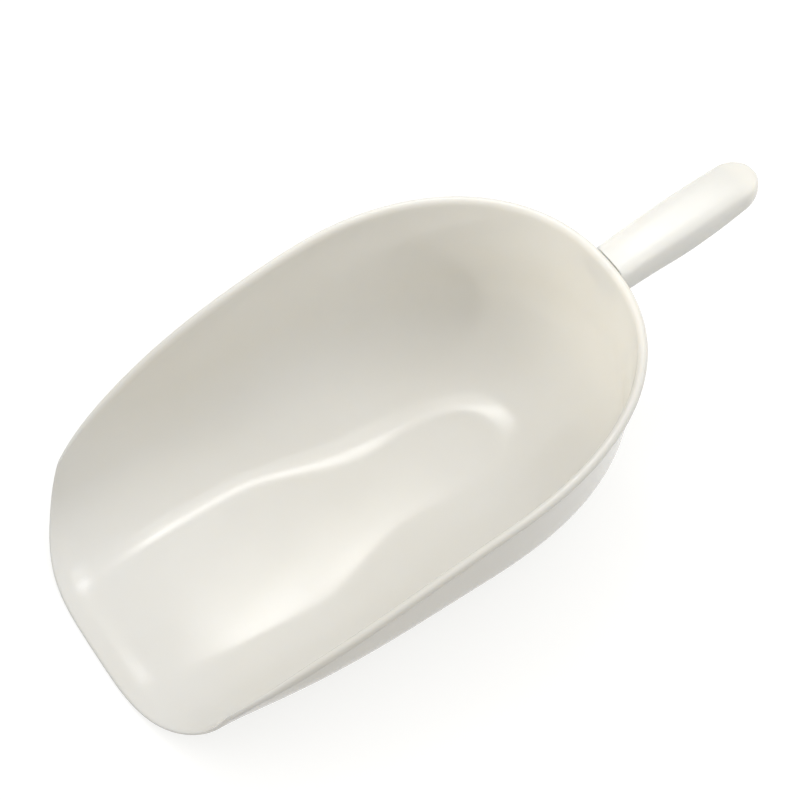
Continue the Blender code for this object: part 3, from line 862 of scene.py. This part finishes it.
def dome():
    """Soft studio light from all round, brightest overhead and dim near the horizon."""
    world = bpy.data.worlds.new("studio")
    bpy.context.scene.world = world
    world.use_nodes = True
    tree = world.node_tree
    background = tree.nodes["Background"]
    background.inputs["Color"].default_value = (*DOME_COLOUR, 1)
    toward = tree.nodes.new("ShaderNodeTexCoord")
    split = tree.nodes.new("ShaderNodeSeparateXYZ")
    tree.links.new(toward.outputs["Generated"], split.inputs["Vector"])
    height = ramp(tree, split.outputs["Z"], DOME_LOW, DOME_HIGH, at=(0.0, DOME_FULL))
    facing = tree.nodes.new("ShaderNodeVectorMath")
    facing.operation = "DOT_PRODUCT"
    facing.inputs[1].default_value = DIM_SIDE
    tree.links.new(toward.outputs["Generated"], facing.inputs[0])
    side = ramp(tree, facing.outputs["Value"], 1.0, DIM_LEVEL, at=DIM_RANGE)
    product = tree.nodes.new("ShaderNodeMath")
    product.operation = "MULTIPLY"
    tree.links.new(height, product.inputs[0])
    tree.links.new(side, product.inputs[1])
    tree.links.new(product.outputs["Value"], background.inputs["Strength"])


def floor():
    """The pale floor. It takes the shadow and shows in reflections, but adds no soft light."""
    half = STUDIO_RADIUS
    corners = [(-half, -half, 0), (half, -half, 0), (half, half, 0), (-half, half, 0)]
    mesh = bpy.data.meshes.new("floor")
    mesh.from_pydata(corners, [], [(0, 1, 2, 3)])
    made = bpy.data.objects.new("floor", mesh)
    made.location.z = CAD_BOX[0][2] - FLOOR_DROP
    made.data.materials.append(pale_stage("studio floor", FLOOR_GLOW))
    made.visible_diffuse = False
    bpy.context.scene.collection.objects.link(made)


def backdrop():
    """A pale wall all round the floor. Only the camera sees it, so it takes no light away."""
    mesh = bpy.data.meshes.new("backdrop")
    work = bmesh.new()
    bmesh.ops.create_cone(
        work,
        cap_ends=False,
        segments=96,
        radius1=STUDIO_RADIUS,
        radius2=STUDIO_RADIUS,
        depth=STUDIO_HEIGHT,
    )
    work.to_mesh(mesh)
    work.free()
    mesh.shade_smooth()
    made = bpy.data.objects.new("backdrop", mesh)
    made.location.z = CAD_BOX[0][2] + STUDIO_HEIGHT / 2 - WALL_SINK
    made.data.materials.append(pale_stage("studio backdrop", BACKDROP_GLOW))
    made.visible_diffuse = False
    made.visible_glossy = False
    made.visible_transmission = False
    made.visible_shadow = False
    bpy.context.scene.collection.objects.link(made)


def spot(name, target, away, watts, spread):
    """A soft narrow lamp on one place, a metre away from it. It shows in no reflection."""
    data = bpy.data.lights.new(name, "SPOT")
    data.energy = watts
    data.color = SPOT_COLOUR
    data.spot_size = math.radians(spread)
    data.spot_blend = 1.0
    data.shadow_soft_size = SPOT_SOFTNESS
    light = bpy.data.objects.new(name, data)
    away = Vector(away).normalized()
    light.location = Vector(target) + away
    light.rotation_euler = away.to_track_quat("Z", "Y").to_euler()
    light.visible_glossy = False
    bpy.context.scene.collection.objects.link(light)


def studio():
    """All the light and the stage."""
    dome()
    for panel in PANELS:
        area_light(*panel)
    for lamp in SPOTS:
        spot(*lamp)
    floor()
    backdrop()


def camera():
    """The photograph's camera."""
    data = bpy.data.cameras.new("camera")
    data.lens = CAMERA_LENS
    data.sensor_width = SENSOR_WIDTH
    made = bpy.data.objects.new("camera", data)
    facing = (CAMERA_AIM - CAMERA_AT).to_track_quat("-Z", "Y").to_matrix().to_4x4()
    turn = Matrix.Rotation(CAMERA_ROLL, 4, "Z")
    made.matrix_world = Matrix.Translation(CAMERA_AT) @ facing @ turn
    bpy.context.scene.collection.objects.link(made)
    bpy.context.scene.camera = made


def main():
    """Makes the camera, the stage, the bowl and the grip, and dresses the CAD pieces."""
    pieces = bpy.data.collections.new("ice scoop")
    bpy.context.scene.collection.children.link(pieces)
    cutters = bpy.data.collections.new("cutters")
    bpy.context.scene.collection.children.link(cutters)

    camera()
    studio()

    bowl_plastic = white_plastic("bowl plastic", *BOWL_LOOK)
    grip_plastic = white_plastic("grip plastic", *GRIP_LOOK)
    cover_plastic = white_plastic("cover plastic", *COVER_LOOK)

    skin = make_bowl(pieces, cutters)
    skin.name = "bowl_skin"
    skin.data.materials.append(bowl_plastic)
    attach(skin, "root")
    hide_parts("bowl")

    grip = make_grip(pieces, cutters)
    grip.data.materials.append(grip_plastic)
    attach(grip, "root")
    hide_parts("handle_grip")
    for cutter in list(cutters.objects):
        bpy.data.objects.remove(cutter, do_unlink=True)
    bpy.data.collections.remove(cutters)

    screw_steel = steel()
    kept = {
        "handle_cover": cover_plastic,
        "handle_screw_front": screw_steel,
        "handle_screw_rear": screw_steel,
    }
    for node, look in kept.items():
        obj = frame["nodes"][node]
        obj.data.materials.clear()
        obj.data.materials.append(look)

    bpy.context.scene.view_settings.view_transform = "Standard"


main()
